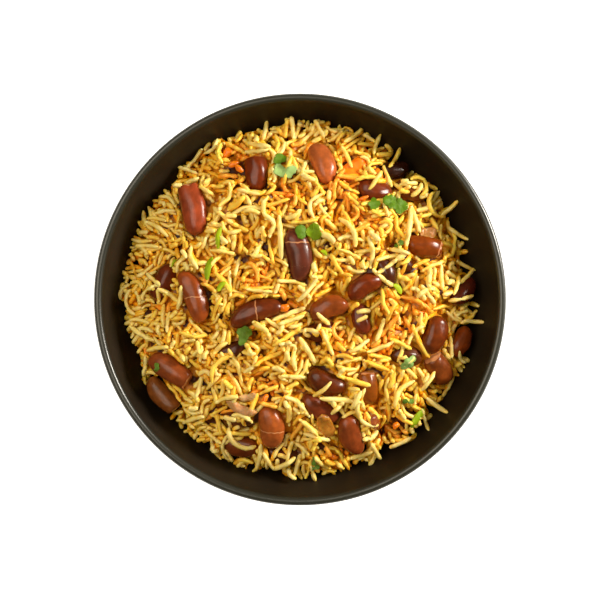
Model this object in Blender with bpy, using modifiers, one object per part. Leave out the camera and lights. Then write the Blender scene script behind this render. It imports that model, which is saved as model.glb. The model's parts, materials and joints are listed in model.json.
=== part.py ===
"""Rice with kidney beans in a black stoneware bowl.

The bowl is one turned solid. The rice is one heap that fills it to an uneven dome, with a pocket for each
bean and for the piece of tomato, which are solids of their own. Metres, +Z up, origin at the middle of the
foot that the bowl stands on.
"""

import math

import bmesh
import bpy
from mathutils import Euler, Matrix, Vector, noise

MM = 0.001

# Bowl
RIM_RADIUS = 77.5 * MM
BOWL_HEIGHT = 60.0 * MM
LIP_RADIUS = 1.5 * MM
INNER_BOTTOM = 8.0 * MM
OUTER_BOTTOM = 4.0 * MM
FOOT_RADIUS = 31.0 * MM
FOOT_WIDTH = 4.0 * MM
FOOT_ROUND = 0.8 * MM
WALL_ACROSS = 3.2  # exponents of the wall's curve: a flat floor, then a wall that flares almost straight
WALL_DOWN = 1.25
AROUND = 42  # flat sides in one turn of the bowl and of the heap
WALL_STEPS = 8  # straight steps down each side of the wall

# Rice
HEAP_EDGE = 44.5 * MM  # height where the rice meets the wall
HEAP_TOP = 62.5 * MM
HEAP_CROWN = 4.0  # exponent of the dome: a broad crown and a steep shoulder
DOME_RINGS = 9
ROUGHNESS_HEIGHT = 2.4 * MM
ROUGHNESS_SPACING = 15.0 * MM
GAP = 0.3 * MM  # kept between solids that touch

# Beans, in millimetres and degrees: where the middle lies, which way the long axis points, length, width,
# how far the top stands above the rice, how far the tip dips, and how far the ends curve to its left.
BEANS = [
    (-40.4, 33.8, -76, 19.6, 9.6, 4.0, 4, -1.3),
    (-16.7, 49.0, -85, 16.5, 8.8, 3.0, 6, -0.6),
    (8.5, 51.4, -71, 16.6, 9.0, 4.0, 0, -1.2),
    (42.8, 41.8, -8, 13.8, 8.0, 2.4, -4, 0.8),
    (36.2, 49.6, 12, 12.4, 7.2, 1.2, 0, 0.6),
    (28.4, 41.4, -13, 13.0, 7.6, 1.6, 5, 0.7),
    (46.6, 20.1, -8, 14.2, 8.2, 2.6, 0, 0.5),
    (37.8, 15.6, -55, 12.5, 7.2, 0.4, 0, 0.7),
    (31.6, 10.9, -60, 12.8, 6.8, 1.8, 0, -0.8),
    (24.0, 4.8, 32, 14.0, 7.8, 3.2, 0, -0.9),
    (23.0, -7.4, -82, 11.6, 6.8, 0.8, -4, 0.6),
    (10.8, -3.2, 17, 15.0, 8.4, 3.2, 0, -0.9),
    (7.6, -12.0, 14, 12.5, 7.0, 0.2, 0, 0.8),
    (-16.5, -4.9, 19, 20.6, 8.6, 3.4, -3, -1.5),
    (-0.7, 16.5, -80, 20.2, 9.7, 3.6, 3, -1.4),
    (-39.9, 1.1, -68, 20.4, 8.6, 3.2, 0, -1.2),
    (-51.8, 6.6, 60, 14.6, 8.2, 1.8, 0, 0.8),
    (-49.4, -26.6, -31, 18.4, 9.2, 4.2, 0, -1.0),
    (-52.6, -36.6, -47, 16.2, 8.0, 4.0, 0, 1.2),
    (-11.0, -47.9, -83, 17.0, 9.4, 3.6, 0, -0.8),
    (9.6, -31.0, -25, 15.0, 9.0, 2.4, 0, 0.9),
    (25.6, -33.0, -85, 13.2, 7.8, 2.0, 0, 0.5),
    (7.6, -41.0, -33, 15.6, 7.8, 1.8, 0, 1.0),
    (19.4, -51.2, -73, 16.6, 8.8, 3.6, 0, 0.9),
    (50.8, -13.5, 70, 15.0, 9.2, 3.2, 0, 0.8),
    (53.0, -26.4, -55, 13.6, 9.4, 2.8, 0, 0.5),
    (62.4, 3.0, 44, 13.2, 7.6, 2.4, 0, 0.8),
    (61.8, -16.2, 62, 12.6, 7.4, 2.4, 0, 0.6),
    (-22.6, -56.0, -8, 14.0, 8.4, 1.2, 0, 0.9),
    (40.2, -21.2, -10, 12.0, 7.4, 0.6, 0, -0.8),
    (-25.6, -19.5, 25, 12.4, 7.0, 0.6, 0, 0.7),
    (41.2, -46.0, -20, 12.0, 7.2, 0.6, 0, 0.7),
    (-23.4, -44.6, 4, 12.8, 7.4, 0.4, 0, 0.8),
    (-6.6, -59.4, -12, 12.6, 7.2, 0.4, 0, 0.8),
]
LEAN = 0.7  # how much of the dome's slope a thing lying on it takes up
BEAN_FLATNESS = 0.86  # thickness over width
BEAN_BLUNTNESS = 0.84  # under 1 the ends are blunter than an ellipsoid's
BEAN_SIDES = 8
BEAN_RINGS = 6

# Tomato, laid on the rice like the beans
TOMATO_PLACE = (21.2, 49.0, 28)
TOMATO_SIZE = (10.5 * MM, 7.5 * MM, 3.0 * MM)
TOMATO_RISE = 1.6 * MM
TOMATO_ROUND = 0.9 * MM


def new_collection(name):
    """Adds a collection to the scene."""
    collection = bpy.data.collections.new(name)
    bpy.context.scene.collection.children.link(collection)
    return collection


def new_material(name, colour, roughness):
    """A plain Principled material: colour is linear red, green and blue."""
    material = bpy.data.materials.new(name)
    material.use_nodes = True
    shader = material.node_tree.nodes["Principled BSDF"]
    shader.inputs["Base Color"].default_value = (*colour, 1.0)
    shader.inputs["Roughness"].default_value = roughness
    shader.inputs["Metallic"].default_value = 0.0
    return material


def new_object(name, mesh, collection, material=None):
    """Links a mesh to a collection as a smooth shaded object."""
    mesh.shade_smooth()
    if material:
        mesh.materials.append(material)
    thing = bpy.data.objects.new(name, mesh)
    collection.objects.link(thing)
    return thing


def wall_curve(radius, top, bottom, steps):
    """Points (radius, height) of the bowl's wall, from its edge down to the middle of its floor."""
    points = []
    for step in range(steps + 1):
        angle = math.pi / 2 * step / steps
        across = math.cos(angle) if step < steps else 0.0
        r = radius * across ** (2 / WALL_ACROSS)
        z = top - (top - bottom) * math.sin(angle) ** (2 / WALL_DOWN)
        points.append((r, z))
    return points


def arc(centre, radius, start, end, steps):
    """Points along an arc in the profile's plane, angles in degrees."""
    points = []
    for step in range(steps + 1):
        angle = math.radians(start + (end - start) * step / steps)
        points.append((centre[0] + radius * math.cos(angle), centre[1] + radius * math.sin(angle)))
    return points


def bowl_profile():
    """The bowl's section: floor, inner wall, lip, outer wall, foot ring and the hollow under it."""
    lip_height = BOWL_HEIGHT - LIP_RADIUS
    inner = wall_curve(RIM_RADIUS - 2 * LIP_RADIUS, lip_height, INNER_BOTTOM, WALL_STEPS)[::-1]
    lip = arc((RIM_RADIUS - LIP_RADIUS, lip_height), LIP_RADIUS, 180, 0, 4)[1:-1]
    outer = [p for p in wall_curve(RIM_RADIUS, lip_height, OUTER_BOTTOM, WALL_STEPS) if p[0] > FOOT_RADIUS + MM]
    foot_outside = arc((FOOT_RADIUS - FOOT_ROUND, FOOT_ROUND), FOOT_ROUND, 0, -90, 2)
    foot_inside = arc((FOOT_RADIUS - FOOT_WIDTH + FOOT_ROUND, FOOT_ROUND), FOOT_ROUND, -90, -180, 2)
    foot_joint = wall_height_at(FOOT_RADIUS)
    return (
        inner
        + lip
        + outer
        + [(FOOT_RADIUS, foot_joint)]
        + foot_outside
        + foot_inside
        + [(FOOT_RADIUS - FOOT_WIDTH - MM, OUTER_BOTTOM - FOOT_ROUND), (0.0, OUTER_BOTTOM - FOOT_ROUND)]
    )


def wall_height_at(radius):
    """Height of the outer wall's curve at a radius."""
    down = (1 - (radius / RIM_RADIUS) ** WALL_ACROSS) ** (1 / WALL_DOWN)
    return BOWL_HEIGHT - LIP_RADIUS - (BOWL_HEIGHT - LIP_RADIUS - OUTER_BOTTOM) * down


def turned(name, profile, collection, material=None):
    """A solid turned about Z from a profile that starts and ends on the axis."""
    mesh = bpy.data.meshes.new(name)
    edges = [(i, i + 1) for i in range(len(profile) - 1)]
    mesh.from_pydata([(r, 0.0, z) for r, z in profile], edges, [])
    thing = new_object(name, mesh, collection, material)
    screw = thing.modifiers.new("Turn", "SCREW")
    screw.axis = "Z"
    screw.steps = AROUND
    screw.render_steps = AROUND
    screw.use_merge_vertices = True
    screw.merge_threshold = 0.00005
    screw.use_smooth_shade = True
    return thing


def heap_edge_radius():
    """Radius at which the rice meets the wall."""
    down = (BOWL_HEIGHT - LIP_RADIUS - HEAP_EDGE) / (BOWL_HEIGHT - LIP_RADIUS - INNER_BOTTOM)
    return (RIM_RADIUS - 2 * LIP_RADIUS - 2 * GAP) * (1 - down**WALL_DOWN) ** (1 / WALL_ACROSS)


def dome_height(x, y):
    """Height of the rice without its unevenness."""
    share = min(math.hypot(x, y) / heap_edge_radius(), 1.0)
    return HEAP_EDGE + (HEAP_TOP - HEAP_EDGE) * (1 - share**HEAP_CROWN)


def unevenness(x, y):
    """How far the rice stands above or below its dome: nothing at the wall, all of it from 8 mm inside."""
    fade = min(max((heap_edge_radius() - math.hypot(x, y)) / (8 * MM), 0.0), 1.0)
    place = Vector((x / ROUGHNESS_SPACING, y / ROUGHNESS_SPACING, 0.7))
    return ROUGHNESS_HEIGHT * fade * noise.noise(place)


def surface_tilt(x, y):
    """Rotation that leans +Z towards the dome's normal."""
    step = 0.5 * MM
    slope_x = (dome_height(x + step, y) - dome_height(x - step, y)) / (2 * step)
    slope_y = (dome_height(x, y + step) - dome_height(x, y - step)) / (2 * step)
    normal = Vector((-slope_x * LEAN, -slope_y * LEAN, 1.0)).normalized()
    return Vector((0.0, 0.0, 1.0)).rotation_difference(normal).to_matrix()


def bean_mesh(name, length, width, bend, grow=0.0):
    """A kidney bean along X whose ends curve towards +Y. grow adds to its size on every side."""
    mesh = bpy.data.meshes.new(name)
    shape = bmesh.new()
    bmesh.ops.create_uvsphere(shape, u_segments=BEAN_SIDES, v_segments=BEAN_RINGS, radius=1.0)
    bmesh.ops.rotate(shape, cent=(0, 0, 0), matrix=Matrix.Rotation(math.pi / 2, 3, "Y"), verts=shape.verts)
    for vertex in shape.verts:
        along, side, up = vertex.co
        girth = math.hypot(side, up)
        swell = girth ** (BEAN_BLUNTNESS - 1) if girth > 0.001 else 1.0
        along = math.copysign(abs(along) ** BEAN_BLUNTNESS, along)
        vertex.co.x = along * (length / 2 + grow)
        vertex.co.y = side * swell * (width / 2 + grow) + bend * (along**2 - 0.4)
        vertex.co.z = up * swell * (width * BEAN_FLATNESS / 2 + grow)
    bmesh.ops.recalc_face_normals(shape, faces=shape.faces)
    shape.to_mesh(mesh)
    shape.free()
    return mesh


def lay_on_rice(thing, x, y, heading, sink, dip=0.0):
    """Lays a thing on the dome, its middle sink below the surface, turned about the surface's normal."""
    turn = Matrix.Rotation(math.radians(heading), 3, "Z") @ Matrix.Rotation(math.radians(dip), 3, "Y")
    thing.location = (x, y, dome_height(x, y) - sink)
    thing.rotation_euler = (surface_tilt(x, y) @ turn).to_euler()


def make_beans(collection, cutters, material):
    """Each bean, and the cutter of the pocket that it lies in."""
    for number, (x, y, heading, length, width, rise, dip, bend) in enumerate(BEANS, start=1):
        size = (length * MM, width * MM, bend * MM)
        sink = width * BEAN_FLATNESS / 2 * MM - rise * MM
        name = f"bean_{number:02d}"
        bean = new_object(name, bean_mesh(name, *size), collection, material)
        pocket = new_object(name + "_pocket", bean_mesh(name + "_pocket", *size, grow=GAP), cutters)
        for thing in (bean, pocket):
            lay_on_rice(thing, x * MM, y * MM, heading, sink, dip)


def tomato_mesh(name, grow=0.0):
    """A soft slab of tomato, narrower at one end, with rounded edges."""
    mesh = bpy.data.meshes.new(name)
    shape = bmesh.new()
    bmesh.ops.create_cube(shape, size=1.0)
    for vertex in shape.verts:
        taper = 0.8 if vertex.co.x > 0 else 1.0
        vertex.co.x *= TOMATO_SIZE[0] + 2 * grow
        vertex.co.y *= TOMATO_SIZE[1] * taper + 2 * grow
        vertex.co.z *= TOMATO_SIZE[2] + 2 * grow
    bmesh.ops.bevel(
        shape, geom=shape.edges, offset=TOMATO_ROUND, segments=2, profile=0.5, affect="EDGES", clamp_overlap=True
    )
    shape.to_mesh(mesh)
    shape.free()
    return mesh


def make_tomato(collection, cutters, material):
    """The piece of tomato, and the cutter of the pocket that it lies in."""
    x, y, heading = TOMATO_PLACE
    piece = new_object("tomato_piece", tomato_mesh("tomato_piece"), collection, material)
    pocket = new_object("tomato_pocket", tomato_mesh("tomato_pocket", GAP), cutters)
    for thing in (piece, pocket):
        lay_on_rice(thing, x * MM, y * MM, heading, TOMATO_SIZE[2] / 2 - TOMATO_RISE)


def make_heap(collection, cutters, material):
    """The rice: a turned dome on the bowl's curve, made uneven, less the pockets."""
    edge = heap_edge_radius()
    dome = [(edge * ring / DOME_RINGS, dome_height(edge * ring / DOME_RINGS, 0.0)) for ring in range(DOME_RINGS + 1)]
    inner_edge = RIM_RADIUS - 2 * LIP_RADIUS - 2 * GAP
    below = wall_curve(inner_edge, BOWL_HEIGHT - LIP_RADIUS, INNER_BOTTOM + 1.5 * GAP, WALL_STEPS)
    below = [point for point in below if point[1] < HEAP_EDGE - 2 * MM]
    blank = turned("heap_blank", dome + below, cutters)
    bpy.context.view_layer.update()
    mesh = bpy.data.meshes.new_from_object(blank.evaluated_get(bpy.context.evaluated_depsgraph_get()))
    bpy.data.objects.remove(blank)
    mesh.name = "rice_heap"
    for vertex in mesh.vertices:
        x, y, z = vertex.co
        if z > dome_height(x, y) - 0.5 * MM:
            vertex.co.z = dome_height(x, y) + unevenness(x, y)
    heap = new_object("rice_heap", mesh, collection, material)
    cut = heap.modifiers.new("Pockets", "BOOLEAN")
    cut.operation = "DIFFERENCE"
    cut.operand_type = "COLLECTION"
    cut.collection = cutters
    cut.solver = "EXACT"


def main():
    for thing in list(bpy.data.objects):
        bpy.data.objects.remove(thing)
    parts = new_collection("rice_and_beans_bowl")
    cutters = new_collection("cutters")
    stoneware = new_material("black_stoneware", (0.020, 0.018, 0.014), 0.42)
    rice = new_material("yellow_rice", (0.62, 0.34, 0.06), 0.5)
    bean_skin = new_material("bean_skin", (0.16, 0.035, 0.016), 0.35)
    tomato = new_material("tomato", (0.80, 0.18, 0.02), 0.35)
    turned("bowl", bowl_profile(), parts, stoneware)
    make_beans(parts, cutters, bean_skin)
    make_tomato(parts, cutters, tomato)
    for cutter in cutters.objects:
        cutter.hide_render = True
        cutter.display_type = "WIRE"
    make_heap(parts, cutters, rice)


if __name__ == "__main__":
    main()
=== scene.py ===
"""Looks of a black stoneware bowl heaped with yellow rice, kidney beans and bits of vegetable and herb."""

import json
import math

import bmesh
import bpy
import numpy as np
from bpy.props import FloatProperty, FloatVectorProperty, IntProperty, PointerProperty
from mathutils import Matrix, Vector, noise
from mathutils.bvhtree import BVHTree

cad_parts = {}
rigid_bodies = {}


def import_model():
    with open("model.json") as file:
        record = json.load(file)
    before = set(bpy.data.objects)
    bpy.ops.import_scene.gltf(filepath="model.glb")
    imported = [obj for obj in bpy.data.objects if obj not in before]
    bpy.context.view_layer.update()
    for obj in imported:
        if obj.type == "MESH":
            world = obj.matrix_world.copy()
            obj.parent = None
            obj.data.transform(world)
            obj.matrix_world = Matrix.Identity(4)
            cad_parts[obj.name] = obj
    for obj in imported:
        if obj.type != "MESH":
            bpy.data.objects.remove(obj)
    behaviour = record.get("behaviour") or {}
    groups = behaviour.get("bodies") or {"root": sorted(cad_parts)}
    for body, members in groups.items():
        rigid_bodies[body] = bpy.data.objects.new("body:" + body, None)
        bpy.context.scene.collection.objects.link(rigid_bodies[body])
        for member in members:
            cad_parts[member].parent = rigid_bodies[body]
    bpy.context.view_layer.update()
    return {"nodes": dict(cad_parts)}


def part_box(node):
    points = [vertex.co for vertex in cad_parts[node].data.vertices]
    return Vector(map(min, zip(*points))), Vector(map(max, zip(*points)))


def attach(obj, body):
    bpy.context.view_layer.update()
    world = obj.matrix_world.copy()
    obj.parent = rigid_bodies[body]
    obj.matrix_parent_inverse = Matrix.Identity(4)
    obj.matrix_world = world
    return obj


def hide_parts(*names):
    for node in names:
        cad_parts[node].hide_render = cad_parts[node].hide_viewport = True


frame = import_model()

bl_info = {
    "name": "Bowl of rice and beans",
    "version": (1, 0, 0),
    "blender": (4, 5, 0),
    "location": "3D View > Sidebar > Rice bowl",
    "description": "Builds a stoneware bowl heaped with yellow rice, kidney beans and garnish",
    "category": "Object",
}

MM = 0.001
BODY = "root"
BOWL_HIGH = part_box("bowl")[1]
HEAP_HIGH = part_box("rice_heap")[1]
BEAN_NODES = sorted(name for name in frame["nodes"] if name.startswith("bean_"))

# The bowl's section, as the CAD solid has it. Its wall is a quarter of a superellipse.
LIP_RADIUS = 1.5 * MM
RIM_RADIUS = BOWL_HIGH.x
LIP_HEIGHT = BOWL_HIGH.z - LIP_RADIUS
INNER_RIM = RIM_RADIUS - 2 * LIP_RADIUS
INNER_BOTTOM = 8.0 * MM
OUTER_BOTTOM = 4.0 * MM
FOOT_RADIUS = 31.0 * MM
FOOT_WIDTH = 4.0 * MM
FOOT_ROUND = 0.8 * MM
CROOK_RADIUS = 1.2 * MM  # between the foot and the wall
WALL_ACROSS = 3.2
WALL_DOWN = 1.25
WALL_STEPS = 48

HEAP_EDGE = 45.0 * MM  # height at which the rice meets the wall
GRID_REACH = RIM_RADIUS - 4 * MM
CELL = 0.4 * MM  # grid on which the rice is laid
MERGE = 0.01 * MM  # points nearer than this are one


# ------------------------------ Helpers ------------------------------


def linear(hex_colour):
    """An sRGB hex colour as linear red, green and blue."""
    values = [int(hex_colour[i : i + 2], 16) / 255 for i in (1, 3, 5)]
    return tuple(v / 12.92 if v <= 0.04045 else ((v + 0.055) / 1.055) ** 2.4 for v in values)


def feed(tree, node, inputs):
    """Sets inputs, by name or number, to values or to sockets. A node stands for its first output."""
    for name, value in inputs.items():
        socket = node.inputs[name]
        if isinstance(value, bpy.types.Node):
            value = next(output for output in value.outputs if not output.is_unavailable)
        if isinstance(value, bpy.types.NodeSocket):
            tree.links.new(value, socket)
        else:
            socket.default_value = (*value, 1) if socket.type == "RGBA" else value


def add(tree, kind, inputs=None, **settings):
    """Adds a node with its settings and its inputs."""
    node = tree.nodes.new(kind)
    for name, value in settings.items():
        setattr(node, name, value)
    feed(tree, node, inputs or {})
    return node


def new_material(name):
    """An empty node material: its tree, its Principled shader and the object coordinates."""
    material = bpy.data.materials.new(name)
    material.use_nodes = True
    tree = material.node_tree
    place = add(tree, "ShaderNodeTexCoord").outputs["Object"]
    return material, tree, tree.nodes["Principled BSDF"], place


def new_piece(name, mesh, material, slot, *nodes):
    """Makes a finished mesh a piece of the object, which rides with the bowl and stands for CAD nodes."""
    mesh.materials.clear()
    mesh.materials.append(material)
    piece = bpy.data.objects.new(name, mesh)
    bpy.context.scene.collection.objects.link(piece)
    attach(piece, BODY)
    if nodes:
        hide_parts(*nodes)
    return piece


def mesh_from(shape, name):
    """Closes a bmesh into a smooth shaded mesh with its faces pointing out."""
    bmesh.ops.recalc_face_normals(shape, faces=shape.faces)
    mesh = bpy.data.meshes.new(name)
    shape.to_mesh(mesh)
    shape.free()
    mesh.shade_smooth()
    return mesh


def turned_mesh(name, profile, around):
    """A closed mesh turned about Z from a profile that starts and ends on the axis."""
    shape = bmesh.new()
    points = [shape.verts.new((r, 0.0, z)) for r, z in profile]
    edges = [shape.edges.new(pair) for pair in zip(points, points[1:])]
    bmesh.ops.spin(
        shape,
        geom=points + edges,
        cent=(0, 0, 0),
        axis=(0, 0, 1),
        angle=2 * math.pi,
        steps=around,
        use_merge=True,
    )
    bmesh.ops.remove_doubles(shape, verts=shape.verts, dist=MERGE)
    return mesh_from(shape, name)


def tree_of(objects):
    """A BVH tree of several meshes at the origin."""
    points, faces = [], []
    for thing in objects:
        start = len(points)
        points.extend(vertex.co.copy() for vertex in thing.data.vertices)
        faces.extend([start + i for i in face.vertices] for face in thing.data.polygons)
    return BVHTree.FromPolygons(points, faces)


def top_of(tree, x, y, otherwise):
    """Height of the topmost surface here, or another height if there is none."""
    hit = tree.ray_cast(Vector((x, y, 1.0)), Vector((0, 0, -1)))[0]
    return hit.z if hit else otherwise


# ------------------------------ Settings ------------------------------


def colour_property(name, description, hex_colour):
    return FloatVectorProperty(
        name=name, description=description, subtype="COLOR", size=3, min=0, max=1, default=linear(hex_colour)
    )


def size_property(name, description, default):
    return FloatProperty(
        name=name,
        description=description,
        unit="LENGTH",
        subtype="DISTANCE",
        min=0,
        default=default,
        precision=5,
    )


def share_property(name, description, default):
    return FloatProperty(name=name, description=description, min=0, max=1, default=default)


def count_property(name, description, least, default):
    return IntProperty(name=name, description=description, min=least, default=default)


class BowlSettings(bpy.types.PropertyGroup):
    glaze: colour_property("Glaze", "Colour of the black glaze", "#1B150C")
    around: count_property("Around", "Flat sides in one turn of the bowl", 24, 192)


class RiceSettings(bpy.types.PropertyGroup):
    length: size_property("Length", "Usual length of a cooked grain", 9.4 * MM)
    width: size_property("Width", "Usual width of a cooked grain", 2.0 * MM)
    broken: share_property("Broken", "Share of grains that broke in two", 0.22)
    layer: size_property("Layer", "Depth of loose grains over the core", 6.0 * MM)
    clump: size_property("Clumps", "Distance between clumps of rice", 9.0 * MM)
    lumps: size_property("Lumps", "How far the clumps stand proud", 3.8 * MM)
    gaps: size_property("Gaps", "Depth of the gaps between the topmost grains", 3.4 * MM)
    count: count_property("Count", "Most grains that fill the heap up to its surface", 1, 2700)
    seed: IntProperty(name="Seed", description="Changes where the grains fall", default=7)
    sides: count_property("Sides", "Flat sides round a grain", 4, 6)
    # Golden is the deep colour of the pale grains and Saucy that of the deepest ones; painted shade brings
    # them out.
    pale: colour_property("Pale", "Colour of the palest grains", "#FFE294")
    golden: colour_property("Golden", "Colour of the golden grains", "#FFCC42")
    saucy: colour_property("Saucy", "Colour of grains that took up tomato", "#F09018")
    core: colour_property("Core", "Colour of the rice deep in the heap", "#CC8410")


class BeanSettings(bpy.types.PropertyGroup):
    sides: count_property("Sides", "Flat sides round a bean", 8, 48)
    wrinkle: size_property("Wrinkle", "Depth of the skin's wrinkles", 0.12 * MM)
    dents: size_property("Dents", "How far a bean is from an even shape", 0.5 * MM)
    roughness: share_property("Roughness", "Roughness of the skin", 0.26)


class GarnishSettings(bpy.types.PropertyGroup):
    leaf: colour_property("Leaf", "Colour of a herb leaf's upper side", "#567A06")
    leaf_pale: colour_property("Pale leaf", "Colour of a herb leaf's underside", "#9CBC72")
    leaf_young: colour_property("Young leaf", "Colour of stalks and young leaves", "#A2B80C")
    tomato: colour_property("Tomato", "Colour of cooked tomato", "#E06408")


class StageSettings(bpy.types.PropertyGroup):
    floor: colour_property("Floor", "Colour of the floor", "#F4F4F4")
    camera_height: size_property("Camera height", "Height of the camera over the bowl's lip", 533.0 * MM)
    lens: FloatProperty(name="Lens", description="Focal length in millimetres", min=10, default=85.0)
    key_power: FloatProperty(
        name="Key", description="Power of the key light", unit="POWER", min=0, default=14.0
    )
    fill: FloatProperty(name="Fill", description="Strength of light from all round", min=0, default=0.22)


# ------------------------------ Bowl ------------------------------


def glazed_stoneware(settings):
    """Stoneware under a black satin glaze: near black, with soft wide highlights and a faint orange peel."""
    material, tree, shader, place = new_material("black_glazed_stoneware")
    cloud = add(tree, "ShaderNodeTexNoise", {"Vector": place, "Scale": 1 / (14 * MM), "Detail": 3.0})
    tone = add(
        tree,
        "ShaderNodeMix",
        {"Factor": cloud, "A": settings.glaze, "B": linear("#251C11")},
        data_type="RGBA",
    )
    # Towards the top of the lip the glaze's brown-black turns to a neutral grey.
    height = add(tree, "ShaderNodeSeparateXYZ", {0: place}).outputs["Z"]
    lip_band = add(
        tree,
        "ShaderNodeMapRange",
        {"Value": height, "From Min": LIP_HEIGHT - 1 * MM, "From Max": LIP_HEIGHT + 0.5 * MM},
    )
    tone = add(tree, "ShaderNodeMix", {"Factor": lip_band, "A": tone, "B": linear("#22241F")}, data_type="RGBA")
    # Glaze pools and thins by a few per cent, which shows as patches of sharper and softer shine.
    shine = add(
        tree,
        "ShaderNodeMapRange",
        {"Value": cloud, "From Min": 0.3, "From Max": 0.7, "To Min": 0.46, "To Max": 0.58},
    )
    # The lip is burnished by wiping and wear, and shines as if under a clear coat.
    worn = add(
        tree,
        "ShaderNodeMapRange",
        {"Value": height, "From Min": LIP_HEIGHT + 0.5 * MM, "From Max": LIP_HEIGHT + 1.2 * MM},
    )
    peel = add(tree, "ShaderNodeTexNoise", {"Vector": place, "Scale": 1 / (1.2 * MM), "Detail": 2.0})
    bump = add(tree, "ShaderNodeBump", {"Height": peel, "Strength": 0.12, "Distance": 0.05 * MM})
    looks = {
        "Base Color": tone,
        "Roughness": shine,
        "Normal": bump,
        "Coat Weight": worn,
        "Coat Roughness": 0.27,
        "IOR": 1.52,
        "Specular IOR Level": 0.2,
    }
    feed(tree, shader, looks)
    return material


def wall_curve(radius, bottom, steps):
    """Points (radius, height) of the bowl's wall from the lip's height down to the middle of its floor."""
    points = []
    for step in range(steps + 1):
        angle = math.pi / 2 * step / steps
        across = math.cos(angle) if step < steps else 0.0
        drop = (LIP_HEIGHT - bottom) * math.sin(angle) ** (2 / WALL_DOWN)
        points.append((radius * across ** (2 / WALL_ACROSS), LIP_HEIGHT - drop))
    return points


def wall_height(radius, rim, bottom):
    """Height of the wall's curve at a radius."""
    down = (1 - min(radius / rim, 1.0) ** WALL_ACROSS) ** (1 / WALL_DOWN)
    return LIP_HEIGHT - (LIP_HEIGHT - bottom) * down


def arc(centre, radius, start, end, steps):
    """Points along an arc in the profile's plane, angles in degrees."""
    angles = [math.radians(start + (end - start) * step / steps) for step in range(steps + 1)]
    return [(centre[0] + radius * math.cos(a), centre[1] + radius * math.sin(a)) for a in angles]


def bowl_profile():
    """The bowl's section: floor, inner wall, lip, outer wall, foot ring and the hollow under it."""
    inner = wall_curve(INNER_RIM, INNER_BOTTOM, WALL_STEPS)[::-1]
    lip = arc((RIM_RADIUS - LIP_RADIUS, LIP_HEIGHT), LIP_RADIUS, 180, 0, 14)[1:-1]
    crook_start = FOOT_RADIUS + 1.25 * CROOK_RADIUS
    outer = [p for p in wall_curve(RIM_RADIUS, OUTER_BOTTOM, WALL_STEPS) if p[0] > crook_start]
    joint = wall_height(FOOT_RADIUS, RIM_RADIUS, OUTER_BOTTOM)
    crook = arc((FOOT_RADIUS + CROOK_RADIUS, joint - CROOK_RADIUS / 2), CROOK_RADIUS, 115, 180, 4)
    foot_outside = arc((FOOT_RADIUS - FOOT_ROUND, FOOT_ROUND), FOOT_ROUND, 0, -90, 5)
    foot_inside = arc((FOOT_RADIUS - FOOT_WIDTH + FOOT_ROUND, FOOT_ROUND), FOOT_ROUND, -90, -180, 5)
    roof = OUTER_BOTTOM - FOOT_ROUND
    hollow = arc((FOOT_RADIUS - FOOT_WIDTH - FOOT_ROUND, roof - FOOT_ROUND), FOOT_ROUND, 0, 90, 5)
    return inner + lip + outer + crook + foot_outside + foot_inside + hollow + [(0.0, roof)]


class RICEBOWL_OT_bowl(bpy.types.Operator):
    """Turns the bowl and gives it its glaze"""

    bl_idname = "ricebowl.bowl"
    bl_label = "Bowl"

    def execute(self, context):
        settings = context.scene.rice_bowl_bowl
        mesh = turned_mesh("stoneware_bowl", bowl_profile(), settings.around)
        new_piece("stoneware_bowl", mesh, glazed_stoneware(settings), "stoneware", "bowl")
        return {"FINISHED"}


# ------------------------------ Beans ------------------------------

# Each bean's skin colour, where its skin has split, from -1 to 1 along it, and how the rice covers it:
# 0 keeps grains off it, 1 lets them lap it, and 2 lets them lie right across.
BEAN_LOOKS = {
    "bean_01": ("#8C3B1E", (), 0),
    "bean_02": ("#6A2607", (), 0),
    "bean_03": ("#AB582A", (), 0),
    "bean_04": ("#71360E", (), 2),
    "bean_05": ("#2D0F04", (), 1),
    "bean_06": ("#742F12", (), 1),
    "bean_07": ("#733105", (-0.72,), 0),
    "bean_08": ("#491E0C", (), 2),
    "bean_09": ("#4A200F", (), 1),
    "bean_10": ("#6C280A", (), 0),
    "bean_11": ("#65250E", (), 1),
    "bean_12": ("#843D14", (), 0),
    "bean_13": ("#59220C", (), 2),
    "bean_14": ("#64270B", (0.05,), 0),
    "bean_15": ("#5D2A1D", (0.5,), 0),
    "bean_16": ("#8B3F15", (-0.05,), 0),
    "bean_17": ("#652508", (), 1),
    "bean_18": ("#863F18", (), 0),
    "bean_19": ("#7A4319", (), 0),
    "bean_20": ("#9C4E1F", (-0.15,), 0),
    "bean_21": ("#582205", (), 0),
    "bean_22": ("#824008", (), 1),
    "bean_23": ("#712F14", (), 0),
    "bean_24": ("#7F3916", (), 0),
    "bean_25": ("#632807", (), 1),
    "bean_26": ("#72350F", (), 0),
    "bean_27": ("#491405", (), 1),
    "bean_28": ("#6F2E07", (), 1),
    "bean_29": ("#713312", (), 1),
    "bean_30": ("#592A0E", (), 2),
    "bean_31": ("#491D0C", (), 2),
    "bean_32": ("#3F1A0A", (), 2),
    "bean_33": ("#5B2F12", (), 2),
    "bean_34": ("#491E0C", (), 2),
}
# Beans that broke or are pressed flat at an end: which end, where along the bean, and how far that half is
# drawn out.
BEAN_CUTS = {
    "bean_01": (1, 0.66, 1.45),
    "bean_02": (1, 0.5, 1.0),
    "bean_07": (-1, 0.8, 1.2),
    "bean_18": (-1, 0.7, 1.3),
    "bean_19": (-1, 0.72, 1.2),
    "bean_26": (1, 0.7, 1.2),
    "bean_22": (1, 0.75, 1.1),
}
BEAN_BLUNTNESS = 0.84
CUT_BULGE = 0.12  # how much of the rounding is left past a cut
SPLIT_WIDTH = 0.6 * MM
NO_SPLIT = 9.0  # distance from a split, in millimetres, where there is none


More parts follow.
